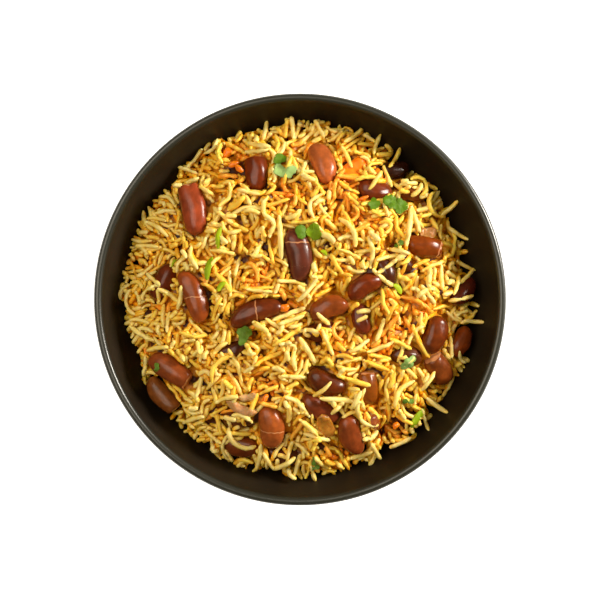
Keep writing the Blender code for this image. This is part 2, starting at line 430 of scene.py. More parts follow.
def bean_skin(settings):
    """Cooked bean skin: thin, smooth and wet, taut over soft flesh, so it shines and shows faint wrinkles."""
    material, tree, shader, place = new_material("cooked_bean_skin")
    skin = add(tree, "ShaderNodeAttribute", attribute_name="skin")
    split = add(tree, "ShaderNodeAttribute", attribute_name="split").outputs["Fac"]
    mottle = add(tree, "ShaderNodeTexNoise", {"Vector": place, "Scale": 1 / (2.5 * MM), "Detail": 4.0})
    depth = add(
        tree,
        "ShaderNodeMapRange",
        {"Value": mottle, "From Min": 0.3, "From Max": 0.7, "To Min": 0.72, "To Max": 1.25},
    )
    toned = add(tree, "ShaderNodeVectorMath", {0: skin, "Scale": depth}, operation="SCALE")
    # Pale flesh shows in a ragged line where the skin has split.
    ragged = add(tree, "ShaderNodeMath", {0: mottle, 1: 0.8, 2: -0.4}, operation="MULTIPLY_ADD")
    near = add(tree, "ShaderNodeMath", {0: split, 1: ragged}, operation="ADD")
    near = add(tree, "ShaderNodeMath", {0: near}, operation="ABSOLUTE")
    near = add(
        tree,
        "ShaderNodeMapRange",
        {"Value": near, "From Min": 0.05, "From Max": 0.3, "To Min": 0.75, "To Max": 0},
    )
    flesh = add(tree, "ShaderNodeMix", {"Factor": near, "A": toned, "B": linear("#DC9A68")}, data_type="RGBA")
    wrinkle = add(tree, "ShaderNodeTexNoise", {"Vector": place, "Scale": 1 / (0.9 * MM), "Detail": 3.0})
    bump = add(tree, "ShaderNodeBump", {"Height": wrinkle, "Strength": 0.35, "Distance": 0.08 * MM})
    looks = {
        "Base Color": flesh,
        "Normal": bump,
        "Roughness": settings.roughness,
        "Specular IOR Level": 0.45,
        "Subsurface Weight": 0.12,
        "Subsurface Radius": (1.0, 0.35, 0.2),
        "Subsurface Scale": 1.0 * MM,
        "IOR": 1.42,
    }
    feed(tree, shader, looks)
    return material


def bean_frame(node):
    """A CAD bean's middle, axes, half sizes and bend, read from its points."""
    points = np.array([vertex.co for vertex in frame["nodes"][node].data.vertices], float)
    points = np.unique(np.round(points, 6), axis=0)
    middle = points.mean(axis=0)
    axes = np.linalg.svd(points - middle)[2]
    if axes[2][2] < 0:
        axes[2] *= -1
    if axes[0][1] < 0:
        axes[0] *= -1
    axes[1] = np.cross(axes[2], axes[0])
    local = (points - middle) @ axes.T
    low, high = local.min(axis=0), local.max(axis=0)
    middle = middle + ((low + high) / 2 * (1, 0, 1)) @ axes
    local = (points - middle) @ axes.T
    half = (local.max(axis=0) - local.min(axis=0)) / 2
    share = np.abs(local[:, 0]) / half[0]
    waist = local[share < 0.45]
    waist_middle = (waist[:, 1].max() + waist[:, 1].min()) / 2
    tip_middle = local[share > 0.9][:, 1].mean()
    width = (waist[:, 1].max() - waist[:, 1].min()) / 2
    return middle + axes[1] * waist_middle, axes, (half[0], width, half[2]), tip_middle - waist_middle


def bean_mesh(node, settings):
    """A detailed bean in the place of its CAD node."""
    middle, axes, (length, width, thickness), bend = bean_frame(node)
    colour, splits, _ = BEAN_LOOKS[node]
    end, limit, stretch = BEAN_CUTS.get(node, (0, 1.0, 1.0))
    sides = settings.sides
    shape = bmesh.new()
    bmesh.ops.create_uvsphere(shape, u_segments=sides, v_segments=sides * 3 // 4, radius=1.0)
    lying = Matrix.Rotation(math.pi / 2, 3, "Y")
    bmesh.ops.rotate(shape, cent=(0, 0, 0), matrix=lying, verts=shape.verts)
    split_layer = shape.verts.layers.float.new("split")
    offset = Vector(middle * 1000)
    for vertex in shape.verts:
        vertex[split_layer] = NO_SPLIT
        along, side, up = vertex.co
        girth = math.hypot(side, up)
        swell = girth ** (BEAN_BLUNTNESS - 1) if girth > 0.001 else 1.0
        along = math.copysign(abs(along) ** BEAN_BLUNTNESS, along)
        edge = limit + 0.07 * noise.noise(Vector((side * 2, up * 2, 0)) + offset)
        if end and along * end > edge:
            along = end * (edge + (along * end - edge) * CUT_BULGE)
            vertex[split_layer] = 0.0
        for place in splits:
            slant = place + 0.1 * side + 0.04 * noise.noise(Vector((side * 3, up * 3, place * 9)) + offset)
            away = (along - slant) * length
            vertex[split_layer] = min(vertex[split_layer], away / MM, key=abs)
            swell *= 1 - 0.05 * math.exp(-((away / SPLIT_WIDTH) ** 2))
        drawn = stretch if along * end > 0 else 1.0
        bent = side * swell * width + bend * along**2
        local = Vector((along * drawn * length, bent, up * swell * thickness))
        ripple = noise.fractal(Vector((along * 1.6, side * 3.2, up * 3.2)) + offset, 1.0, 2.0, 3)
        dent = noise.noise(Vector((along * 1.3, side * 1.1, up * 1.1)) + offset * 2)
        local += Vector((along * 0.5, side, up)) * (settings.wrinkle * ripple + settings.dents * dent)
        vertex.co = middle + local.x * axes[0] + local.y * axes[1] + local.z * axes[2]
    mesh = mesh_from(shape, node + "_skin")
    skin = mesh.attributes.new("skin", "FLOAT_COLOR", "POINT")
    tint = linear(colour)
    for number, vertex in enumerate(mesh.vertices):
        shade = 1.0 + 0.25 * noise.noise(vertex.co * 160)
        skin.data[number].color = (tint[0] * shade, tint[1] * shade, tint[2] * shade, 1.0)
    return mesh


class RICEBOWL_OT_beans(bpy.types.Operator):
    """Models each kidney bean in the place of its solid"""

    bl_idname = "ricebowl.beans"
    bl_label = "Kidney beans"

    def execute(self, context):
        settings = context.scene.rice_bowl_beans
        material = bean_skin(settings)
        for node in BEAN_NODES:
            new_piece(node + "_skin", bean_mesh(node, settings), material, "bean_skin", node)
        return {"FINISHED"}


# ------------------------------ Tomato ------------------------------

# Small bits of tomato: place, heading in degrees, length, width.
TOMATO_BITS = (
    (-27.6, 56.0, 60, 5.2, 3.2), (-25.2, 51.2, 20, 3.6, 2.2), (-22.8, 49.2, -30, 3.2, 2.0),
    (29.2, 46.2, 80, 6.6, 2.4), (-6.0, -3.2, 70, 3.6, 2.8), (-4.0, 38.8, 10, 3.4, 2.0),
    (31.6, -2.8, 40, 3.0, 2.0), (44.6, -5.2, 0, 3.0, 2.0), (32.8, -17.8, 60, 2.8, 1.8),
    (13.0, -60.2, 0, 3.4, 2.2), (36.4, -48.2, 30, 3.4, 2.2), (-13.0, -37.0, 50, 2.8, 2.0),
    (-15.6, 8.6, 20, 2.6, 1.8), (24.0, 38.0, 30, 3.6, 2.0),
)


def tomato_flesh(settings):
    """Cooked tomato: soft wet flesh that light soaks into, orange where it is thin."""
    material, tree, shader, place = new_material("cooked_tomato_flesh")
    patch = add(tree, "ShaderNodeTexNoise", {"Vector": place, "Scale": 1 / (2.0 * MM), "Detail": 3.0})
    tone = add(
        tree,
        "ShaderNodeMix",
        {"Factor": patch, "A": settings.tomato, "B": linear("#F49418")},
        data_type="RGBA",
    )
    bump = add(tree, "ShaderNodeBump", {"Height": patch, "Strength": 0.5, "Distance": 0.25 * MM})
    looks = {
        "Base Color": tone,
        "Normal": bump,
        "Roughness": 0.28,
        "Subsurface Weight": 0.4,
        "Subsurface Radius": (1.0, 0.6, 0.4),
        "Subsurface Scale": 0.5 * MM,
    }
    feed(tree, shader, looks)
    return material


def tomato_piece_mesh():
    """The CAD piece with its corners softened and its surface lumpy, sunk a little into the rice."""
    shape = bmesh.new()
    shape.from_mesh(frame["nodes"]["tomato_piece"].data)
    bmesh.ops.remove_doubles(shape, verts=shape.verts, dist=MERGE)
    bmesh.ops.subdivide_edges(shape, edges=shape.edges, cuts=5, use_grid_fill=True)
    for _ in range(5):
        bmesh.ops.smooth_vert(
            shape, verts=shape.verts, factor=0.5, use_axis_x=True, use_axis_y=True, use_axis_z=True
        )
    for vertex in shape.verts:
        vertex.co += vertex.normal * 1.6 * MM * noise.fractal(vertex.co * 200, 1.0, 2.0, 3)
        vertex.co.z -= 1.2 * MM
    return mesh_from(shape, "tomato_flesh")


def tomato_bits_mesh():
    """Lumpy bits that lie on the CAD heap, as the rice isn't there yet."""
    top = tree_of([frame["nodes"]["rice_heap"]])
    shape = bmesh.new()
    for x, y, heading, length, width in TOMATO_BITS:
        z = top_of(top, x * MM, y * MM, HEAP_EDGE) + 0.9 * MM
        turn = Matrix.Translation((x * MM, y * MM, z)) @ Matrix.Rotation(math.radians(heading), 4, "Z")
        placed = turn @ Matrix.Diagonal((length * MM / 2, width * MM / 2, 1.0 * MM, 1))
        for vertex in bmesh.ops.create_icosphere(shape, subdivisions=3, radius=1.0, matrix=placed)["verts"]:
            away = vertex.co - turn.translation
            vertex.co += away * 0.5 * noise.fractal(vertex.co * 500, 1.0, 2.0, 3)
    return mesh_from(shape, "tomato_bits_flesh")


class RICEBOWL_OT_tomato(bpy.types.Operator):
    """Models the piece of tomato in the place of its solid, and small bits of tomato"""

    bl_idname = "ricebowl.tomato"
    bl_label = "Tomato"

    def execute(self, context):
        material = tomato_flesh(context.scene.rice_bowl_garnish)
        new_piece("tomato_flesh", tomato_piece_mesh(), material, "tomato", "tomato_piece")
        new_piece("tomato_bits_flesh", tomato_bits_mesh(), material, "tomato")
        return {"FINISHED"}


# ------------------------------ Onion ------------------------------

# Flakes of onion: place, heading in degrees, length, width, how far it turns along its length, colour.
ONION_FLAKES = (
    (-22.2, -41.2, -20, 12.6, 3.4, 0.3, "#CE9A66"),
    (9.6, -47.6, -62, 10.0, 5.6, 0.4, "#B87A28"),
    (48.8, 25.2, 8, 7.4, 4.2, 0.5, "#B88048"),
    (28.4, -46.4, -75, 7.0, 3.4, 0.4, "#9A5228"),
    (-19.6, -36.8, 12, 7.2, 2.6, 0.4, "#D6A872"),
)
FLAKE_STEPS = 24
FLAKE_COLUMNS = 12


def cooked_onion():
    """Cooked onion: glassy thin layers with fine lengthwise fibres, soaked with light."""
    material, tree, shader, place = new_material("cooked_onion")
    tone = add(tree, "ShaderNodeAttribute", attribute_name="tone")
    across = add(tree, "ShaderNodeAttribute", attribute_name="across").outputs["Fac"]
    fibres = add(tree, "ShaderNodeMath", {0: across, 1: 40.0}, operation="MULTIPLY")
    fibres = add(tree, "ShaderNodeMath", {0: fibres}, operation="SINE")
    cloud = add(tree, "ShaderNodeTexNoise", {"Vector": place, "Scale": 1 / (2.5 * MM), "Detail": 3.0})
    mottled = add(
        tree,
        "ShaderNodeMapRange",
        {"Value": cloud, "From Min": 0.3, "From Max": 0.7, "To Min": 0.7, "To Max": 1.15},
    )
    colour = add(tree, "ShaderNodeVectorMath", {0: tone, "Scale": mottled}, operation="SCALE")
    bump = add(tree, "ShaderNodeBump", {"Height": fibres, "Strength": 0.25, "Distance": 0.06 * MM})
    looks = {
        "Base Color": colour,
        "Normal": bump,
        "Roughness": 0.22,
        "Subsurface Weight": 0.7,
        "Subsurface Radius": (1.0, 0.5, 0.25),
        "Subsurface Scale": 1.5 * MM,
    }
    feed(tree, shader, looks)
    return material


def shell(shape, rows, thickness, centre=None):
    """Adds a thin sheet under rows of points, which are rings if it has a centre. Returns its vertices."""
    start = len(shape.verts)
    rims = []
    for drop in (0, thickness):
        grid = [[shape.verts.new((x, y, z - drop)) for x, y, z in row] for row in rows]
        for low, high in zip(grid, grid[1:]):
            pairs = list(zip(low, high))
            for (a, b), (c, d) in zip(pairs, pairs[1:] + pairs[:1] if centre else pairs[1:]):
                shape.faces.new((a, c, d, b))
        if centre:
            tip = shape.verts.new((centre[0], centre[1], centre[2] - drop))
            for a, b in zip(grid[0], grid[0][1:] + grid[0][:1]):
                shape.faces.new((tip, b, a))
            rims.append(grid[-1])
        else:
            left = [row[0] for row in grid[-2:0:-1]]
            rims.append(grid[0] + [row[-1] for row in grid[1:-1]] + grid[-1][::-1] + left)
    pairs = list(zip(*rims))
    for (a, b), (c, d) in zip(pairs, pairs[1:] + pairs[:1]):
        shape.faces.new((a, c, d, b))
    shape.verts.ensure_lookup_table()
    return shape.verts[start:]


def draped_cloth():
    """The finished heap's surface as a thin soft thing that lies on it feels it."""
    names = ("_skin", "_flesh", "_pale", "_golden", "_saucy", "_core")
    cloth = Ground(GRID_REACH).drape([t for t in bpy.data.objects if t.name.endswith(names)])
    return cloth.close(1.6 * MM).smooth(0.8 * MM)


def flake_rows(cloth, x, y, heading, length, width, curve):
    """Rows of points across an arched onion flake whose ends dip into the rice."""
    rows = []
    for i in range(FLAKE_STEPS + 1):
        u = i / FLAKE_STEPS - 0.5
        angle = heading + curve * u
        narrowing = (1 - (2 * abs(u)) ** 4 * 0.8) * (1 + 0.12 * noise.noise(Vector((u * 6, x, y))))
        row = []
        for j in range(FLAKE_COLUMNS + 1):
            v = j / FLAKE_COLUMNS - 0.5
            px = x + u * length * math.cos(angle) - v * width * narrowing * math.sin(angle)
            py = y + u * length * math.sin(angle) + v * width * narrowing * math.cos(angle)
            lift = 0.3 + 0.7 * (1 - 4 * v * v) - 0.9 * (2 * u) ** 4
            lift += 0.3 * noise.noise(Vector((px, py, 0.5)) * 0.6)
            row.append((px * MM, py * MM, cloth.at(px * MM, py * MM) + lift * MM))
        rows.append(row)
    return rows


class RICEBOWL_OT_onion(bpy.types.Operator):
    """Lays flakes of cooked onion on the heap"""

    bl_idname = "ricebowl.onion"
    bl_label = "Onion"

    def execute(self, context):
        cloth = draped_cloth()
        shape = bmesh.new()
        tone = shape.verts.layers.float_color.new("tone")
        across = shape.verts.layers.float.new("across")
        for x, y, degrees, length, width, curve, colour in ONION_FLAKES:
            heading = math.radians(degrees)
            for vertex in shell(shape, flake_rows(cloth, x, y, heading, length, width, curve), 0.7 * MM):
                vertex[tone] = (*linear(colour), 1)
                side = vertex.co / MM - Vector((x, y, 0))
                vertex[across] = side.y * math.cos(heading) - side.x * math.sin(heading)
        new_piece("onion_flakes", mesh_from(shape, "onion_flakes"), cooked_onion(), "onion")
        return {"FINISHED"}


# ------------------------------ Rice ------------------------------


class Ground:
    """Heights on a square grid over the bowl."""

    def __init__(self, reach):
        self.count = 2 * int(reach / CELL) + 1
        self.middle = (self.count - 1) / 2
        line = (np.arange(self.count) - self.middle) * CELL
        self.x, self.y = np.meshgrid(line, line, indexing="ij")
        self.heights = np.zeros_like(self.x)

    def cells(self, x, y):
        """Row and column of the cells that hold points."""
        i = np.clip(np.rint(x / CELL + self.middle).astype(int), 0, self.count - 1)
        j = np.clip(np.rint(y / CELL + self.middle).astype(int), 0, self.count - 1)
        return i, j

    def at(self, x, y):
        return self.heights[self.cells(x, y)]

    def fill(self, height_here):
        """Sets each cell to what a function of its place gives."""
        for i, j in np.ndindex(self.x.shape):
            self.heights[i, j] = height_here(self.x[i, j], self.y[i, j])
        return self

    def drape(self, objects):
        """Takes the height of the topmost surface of these objects."""
        tree = tree_of(objects)
        return self.fill(lambda x, y: top_of(tree, x, y, 0.0))

    def smooth(self, reach):
        """Evens the heights out over about this reach."""
        for _ in range(int(round(reach / CELL)) ** 2 * 2):
            for axis in (0, 1):
                sides = np.roll(self.heights, 1, axis) + np.roll(self.heights, -1, axis)
                self.heights = (2 * self.heights + sides) / 4
        return self

    def close(self, reach):
        """Fills hollows narrower than twice this reach up to their rims."""
        for pick in (np.maximum, np.minimum):
            for _ in range(int(reach / CELL)):
                for axis in (0, 1):
                    side = pick(np.roll(self.heights, 1, axis), np.roll(self.heights, -1, axis))
                    self.heights = pick(self.heights, side)
        return self


def rice_core(settings):
    """Rice deep in the heap: grains pressed together in sauce, seen only as dark warm gaps."""
    material, tree, shader, place = new_material("pressed_rice")
    lumps = add(tree, "ShaderNodeTexNoise", {"Vector": place, "Scale": 1 / (3 * MM), "Detail": 3.0})
    # Darker patches here and there: bean broth, and painted shade that deepens the gaps between the grains.
    broth_and_shade = add(tree, "ShaderNodeTexNoise", {"Vector": place, "Scale": 1 / (7 * MM), "Detail": 2.0})
    broth_and_shade = add(tree, "ShaderNodeMapRange", {"Value": broth_and_shade, "From Min": 0.43, "From Max": 0.52})
    tone = add(
        tree, "ShaderNodeMix", {"Factor": broth_and_shade, "A": linear("#4A1E04"), "B": settings.core}, data_type="RGBA"
    )
    bump = add(tree, "ShaderNodeBump", {"Height": lumps, "Strength": 0.8, "Distance": 1.0 * MM})
    feed(tree, shader, {"Base Color": tone, "Normal": bump, "Roughness": 0.45})
    return material


CORE_ROUND = 6 * MM  # the core's top rounds down to its edge over this, and ends this far under the layer
CORE_RINGS = 110


def core_mesh(ceiling, settings):
    """The heap under the loose grains: its top a layer under the heap's, its underside on the bowl."""
    wall = wall_curve(INNER_RIM - 0.6 * MM, INNER_BOTTOM + 0.5 * MM, 60)
    below = [p for p in wall if p[1] < HEAP_EDGE - settings.layer - CORE_ROUND]
    edge, low = below[0]
    low += 0.5 * MM
    profile = [(edge * step / CORE_RINGS, HEAP_HIGH.z) for step in range(CORE_RINGS + 1)] + below
    mesh = turned_mesh("rice_core", profile, 300)
    for vertex in mesh.vertices:
        x, y, z = vertex.co
        if z > HEAP_HIGH.z - 1 * MM:
            top = ceiling.at(x, y) - settings.layer + 0.8 * MM * noise.noise(vertex.co * 300)
            near = min(1.0, max(0.0, (edge - math.hypot(x, y)) / CORE_ROUND))
            vertex.co.z = max(low + (top - low) * near**0.5, low)
    return mesh


def raise_core(mesh, surface, settings):
    """Brings the core's top up to just under the loose grains, as starch and sauce fill their gaps."""
    for vertex in mesh.vertices:
        x, y, z = vertex.co
        if z > HEAP_EDGE - 2 * CORE_ROUND and math.hypot(x, y) < HEAP_HIGH.x - 4 * MM:
            level = surface.at(x, y) - settings.gaps - 0.6 * MM * noise.noise(vertex.co * 400)
            vertex.co.z = max(z, level)


KEPT_CLEAR = 2.5 * MM  # grains stay this far under the top of a bean that lies clear
# Hollows between clumps and beside beans: place, reach, depth.
HOLLOWS = (
    (-35, -10, 4, 5), (-46, 2, 3, 4), (-25, -9, 3, 4), (-17, -14, 3, 4), (-32, 40, 3, 3),
    (-13, 60, 3, 2), (36, 50, 4, 4), (38, 44, 3, 3), (47, 41, 4, 2), (34, 20, 3, 4), (35, 12, 4, 4),
    (28, 3, 4, 4), (14, 2, 3, 3), (18, -9, 5, 3), (6, -14, 4, 3), (-13, 20, 3, 3), (7, 22, 3, 3),
    (-21, 16, 2, 3), (2, -35, 3, 3), (16, -33, 4, 3), (9, -26, 4, 2), (31, -39, 4, 3), (12, -46, 3, 2),
    (46, -19, 4, 4), (52, -34, 3, 3), (57, -8, 4, 4), (66, 0, 3, 3), (-20, -52, 3, 2), (-3, -54, 4, 4),
    (-43, -31, 3, 3), (60, 30, 4, 3), (-57, -2, 3, 3), (66, 12, 10, 6), (60, 30, 11, 6),
    (55, -42, 8, 4), (66, -16, 9, 5), (49, 52, 10, 5), (30, -9, 4, 4), (40, -19, 4, 3), (33, -50, 4, 4),
    (40, -44, 4, 3),
)
# Where the heap's edge falls back: azimuth in degrees, how far, and over how many degrees.
NOTCHES = (
    (53, 4.5, 5), (138, 3.0, 5), (198, 3.5, 9), (237, 3.0, 5), (261, 4.0, 4), (300, 6.0, 3),
    (322, 4.0, 3), (28, 2.0, 4), (12, 2.0, 6),
)
# Where the tomato coloured the rice: place and reach.
SAUCE = (
    (-27, 54, 6), (-24, 49, 5), (19, 48, 8), (22, 37, 8), (-4, 39, 6), (-16, 8, 5), (-6, -3, 4),
    (32, -3, 7), (44, -5, 5), (30, -10, 5), (33, -18, 5), (13, -60, 6), (37, -48, 6), (-13, -37, 5),
    (-38, -2, 4), (14, -18, 5),
)
# Grains that lie in known places: place, heading in degrees, length, width, curl, sway, tint from 0 to 1.
PLACED_GRAINS = (
    (-11.6, 28.0, -75, 11.5, 2.1, 0.0, 0.9, 0.05), (-7.3, 23.2, -87, 16.5, 2.2, 0.1, 0.06, 0.02),
    (26.3, 17.6, -86, 12.5, 1.9, -0.3, 0.25, 0.05), (31.0, 8.0, -38, 10.5, 1.9, 0.6, 0.1, 0.1),
    (43.6, 30.4, -73, 10.5, 2.0, 0.2, 0.05, 0.02), (41.0, 27.4, -99, 15.5, 2.1, 0.1, 0.08, 0.1),
    (37.0, 18.1, -14, 8.4, 1.9, 0.0, 0.1, 0.05), (45.4, 43.4, -60, 13.0, 1.8, -3.6, 0.0, 0.6),
    (51.6, 35.5, -60, 13.5, 1.9, 2.6, 0.0, 0.5), (-4.1, -5.4, 21, 12.8, 2.1, 0.1, 0.05, 0.05),
    (-3.2, -7.6, 19, 10.0, 2.0, 0.2, 0.05, 0.15), (8.6, -7.2, -43, 6.6, 2.0, 0.0, 0.0, 0.02),
    (2.8, -19.0, -59, 11.5, 2.2, 0.1, 0.1, 0.1), (45.3, -15.8, -62, 14.5, 2.1, 0.9, 0.2, 0.75),
    (15.0, -37.6, -6, 15.5, 2.1, 0.1, 0.1, 0.1), (14.0, -40.6, 45, 6.6, 2.0, 0.0, 0.0, 0.1),
    (-22.8, -53.4, -36, 15.5, 2.2, 2.5, 0.1, 0.15), (-21.5, -44.4, -20, 9.0, 2.0, -1.4, 0.0, 0.2),
    (61.9, -22.0, -60, 6.4, 1.6, 1.3, 0.0, 0.02), (57.8, -18.2, -87, 8.4, 1.7, 0.1, 0.1, 0.1),
    (-55.5, 7.8, -40, 7.4, 1.9, 0.5, 0.0, 0.1), (-65.0, -1.1, -80, 12.0, 1.9, 2.2, 0.0, 0.15),
    (-40.6, 54.0, -128, 9.5, 1.9, 0.3, 0.2, 0.2), (-43.0, 49.6, 160, 8.0, 1.8, 0.3, 0.0, 0.2),
    (-13.4, 65.0, 80, 8.0, 1.9, 0.2, 0.0, 0.05), (-2.9, 65.8, 96, 9.0, 1.9, 0.2, 0.0, 0.1),
    (7.4, 65.2, 118, 8.0, 1.9, 0.2, 0.0, 0.3), (20.4, 62.6, 38, 9.0, 1.9, 0.4, 0.0, 0.4),
    (29.4, 59.4, 70, 9.0, 1.8, -0.3, 0.0, 0.4), (36.4, 54.2, 60, 9.5, 1.9, 0.5, 0.0, 0.5),
    (57.4, 35.0, 40, 8.5, 1.8, 0.4, 0.0, 0.45), (61.0, 25.6, -32, 9.5, 1.8, 0.2, 0.0, 0.4),
    (64.0, 13.0, -25, 8.0, 1.8, 0.2, 0.0, 0.4), (63.4, 8.6, 40, 10.0, 1.8, 0.5, 0.0, 0.4),
    (66.6, -8.4, -5, 8.0, 1.8, 0.1, 0.0, 0.2), (61.4, 0.4, 12, 10.0, 1.9, 0.2, 0.0, 0.2),
    (29.0, -58.0, -60, 8.0, 1.9, 0.2, 0.0, 0.2), (23.6, -59.6, 20, 9.0, 2.0, 0.3, 0.0, 0.2),
    (38.6, -55.0, 25, 9.0, 1.9, 0.2, 0.0, 0.15), (52.4, -40.6, -35, 10.0, 2.0, 0.2, 0.0, 0.1),
    (48.0, -46.2, -70, 9.0, 1.9, 0.2, 0.0, 0.1), (5.0, -66.6, -75, 7.0, 1.8, 0.2, 0.0, 0.1),
    (-6.0, -62.6, 30, 10.0, 2.0, 0.6, 0.0, 0.2), (-12.0, -61.4, -60, 8.0, 1.9, 0.3, 0.0, 0.15),
    (-33.0, -52.4, -40, 8.0, 1.9, 0.4, 0.0, 0.2), (-40.6, -45.6, 200, 9.0, 1.9, 0.4, 0.0, 0.1),
    (-27.6, -37.4, 15, 9.5, 2.0, -0.5, 0.1, 0.3), (-38.0, -33.0, 75, 8.0, 2.0, 0.3, 0.0, 0.05),
    (-60.4, -13.0, -30, 11.0, 2.1, 0.4, 0.0, 0.2), (-54.0, -18.6, 10, 9.0, 2.0, -0.5, 0.0, 0.35),
    (-16.4, 56.2, 2, 9.0, 2.0, 0.3, 0.0, 0.2), (-15.4, 58.4, -14, 9.0, 2.0, 0.3, 0.0, 0.1),
    (28.4, 44.8, 55, 9.0, 1.9, 0.4, 0.1, 0.4), (24.4, 45.6, 10, 8.0, 1.9, -0.5, 0.1, 0.6),
    (33.2, 46.8, -70, 9.0, 1.9, 0.4, 0.1, 0.3), (32.6, 12.4, 35, 9.0, 1.9, 0.3, 0.0, 0.15),
    (30.0, -11.4, 70, 9.0, 1.9, 0.3, 0.0, 0.2), (21.0, -37.6, 62, 8.0, 2.0, 0.2, 0.0, 0.1),
    (8.4, -33.6, 40, 9.0, 1.9, 0.5, 0.0, 0.2), (48.6, -30.8, 55, 9.0, 1.9, 0.3, 0.0, 0.2),
    (59.6, 5.4, 70, 8.0, 1.8, 0.3, 0.0, 0.35), (-45.0, 0.8, 80, 9.0, 2.0, 0.4, 0.0, 0.2),
)


def beans_covered(cover):
    """The pieces of the beans that the rice covers this much."""
    return [bpy.data.objects[node + "_skin"] for node in BEAN_NODES if BEAN_LOOKS[node][2] == cover]


STATIONS = np.array([0, 0.03, 0.1, 0.25, 0.42, 0.58, 0.75, 0.9, 0.97, 1.0])  # along a grain
SLOPES = np.linspace(-0.6, 0.6, 25)  # at which a grain may lie
TOUCH = 0.05 * MM  # a grain rests on what is nearer than this
SINK = 0.7 * MM  # soft grains press this far into what they lie on
LIMPNESS = 0.55  # share of the gap under it that a grain sags into
DROOP = 20.0  # 1/m: a free end hangs by this times the square of its reach
MOST_HANG = 1.6 * MM
LENGTHS = 6 * MM, 15.5 * MM
LENGTH_SPREAD = 1.7 * MM
WIDTHS = 1.5 * MM, 2.5 * MM
WIDTH_SPREAD = 0.22 * MM
BEND_SPREADS = (0.5, 0.18, 0.1, 0.0)  # of curl, sway, kink and the kink's place
# Which of those bends is strong in some grains: in what share, and from how much to how much.
STRONG_BENDS = ((0, 0.1, 1.0, 2.4), (2, 0.2, 0.2, 0.45))
OUTWARD_EDGE = 9 * MM  # grains this near the heap's edge point outwards
MOST_MISSES = 150
# Grains that lie loose on the full heap and stand proud of it: how many, how far, and of how many tries
# the lowest is kept.
LOOSE_ROUNDS = ((600, 1.4 * MM, 16), (600, 2.2 * MM, 6), (150, 3.4 * MM, 1))


def grain_courses(x, y, heading, length, bends):
    """Middle lines of grains in plan, one row a grain, the way along each, and where each heads.

    A row of bends holds how far the grain curls, how far it sways to and fro, and a kink's angle and place.
    """
    curl, sway, kink, place = (bends[:, i, None] for i in range(4))
    turn = curl * (STATIONS - 0.5) + sway * np.sin(2 * math.pi * STATIONS)
    angle = heading[:, None] + turn + kink * np.tanh(8 * (STATIONS - place))
    middle_angle = (angle[:, 1:] + angle[:, :-1]) / 2
    steps = np.diff(STATIONS) * length[:, None]
    zero = np.zeros((len(x), 1))
    px = np.hstack([zero, np.cumsum(np.cos(middle_angle) * steps, axis=1)])
    py = np.hstack([zero, np.cumsum(np.sin(middle_angle) * steps, axis=1)])
    px += x[:, None] - px.mean(axis=1, keepdims=True)
    py += y[:, None] - py.mean(axis=1, keepdims=True)
    return px, py, (STATIONS - 0.5) * length[:, None], angle


